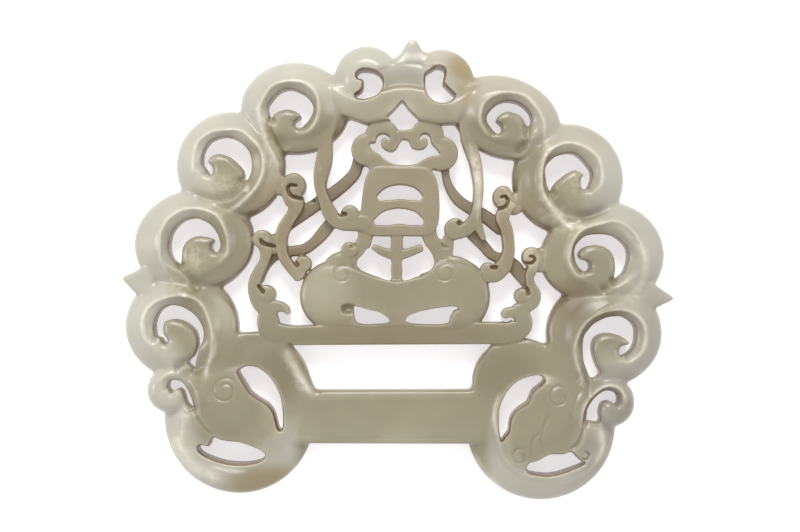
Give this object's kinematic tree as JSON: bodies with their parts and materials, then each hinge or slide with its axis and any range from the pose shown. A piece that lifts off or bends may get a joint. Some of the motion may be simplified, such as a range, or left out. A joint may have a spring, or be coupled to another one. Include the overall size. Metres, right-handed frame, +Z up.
{
  "type": "carved jade openwork plaque",
  "caption": "Lock-shaped openwork plaque carved from one slab, with a border of scroll lobes, a bell emblem, ribbons and two paired creatures, lying on its flat back.",
  "frame": {"origin": "centre of the flat back, on the surface that the plaque lies on", "axes": "+X to the carving's right, +Y towards the carving's top, +Z up out of the carved face"},
  "size_m": [0.1004, 0.0836, 0.0065],
  "materials": {
    "jade": "polished"
  },
  "bodies": {
    "root": {"jade_plaque": "jade"}
  },
  "joints": []
}
